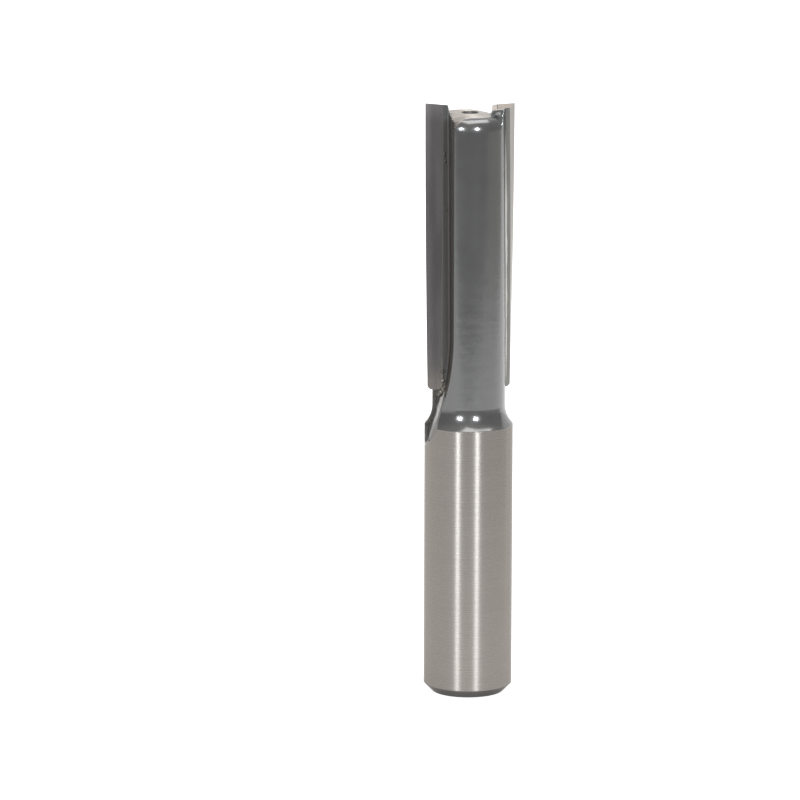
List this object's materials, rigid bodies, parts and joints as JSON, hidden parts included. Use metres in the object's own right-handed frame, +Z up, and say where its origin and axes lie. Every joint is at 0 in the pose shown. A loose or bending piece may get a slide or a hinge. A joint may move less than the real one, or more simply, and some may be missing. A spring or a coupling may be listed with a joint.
{
  "type": "router bit",
  "caption": "Straight router bit with flat brazed carbide tips, open flutes that run out into a concave flare, and a plain round shank.",
  "frame": {"origin": "centre of the shank's flat end face, which the bit stands on", "axes": "+Z up the axis to the cutting end; +X towards one carbide tip, whose cutting face looks to +Y; the other tip is on -X and looks to -Y"},
  "size_m": [0.0126, 0.0126, 0.0855],
  "materials": {
    "painted_steel": "satin grey paint on the core, the flare and the flutes; the shank and the end grinding are bare ground steel",
    "carbide": "ground tungsten carbide",
    "silver_solder": "dull silver brazing alloy"
  },
  "bodies": {
    "root": {"body": "painted_steel", "carbide_tip_left": "carbide", "carbide_tip_right": "carbide", "braze_left": "silver_solder", "braze_right": "silver_solder"}
  },
  "joints": []
}
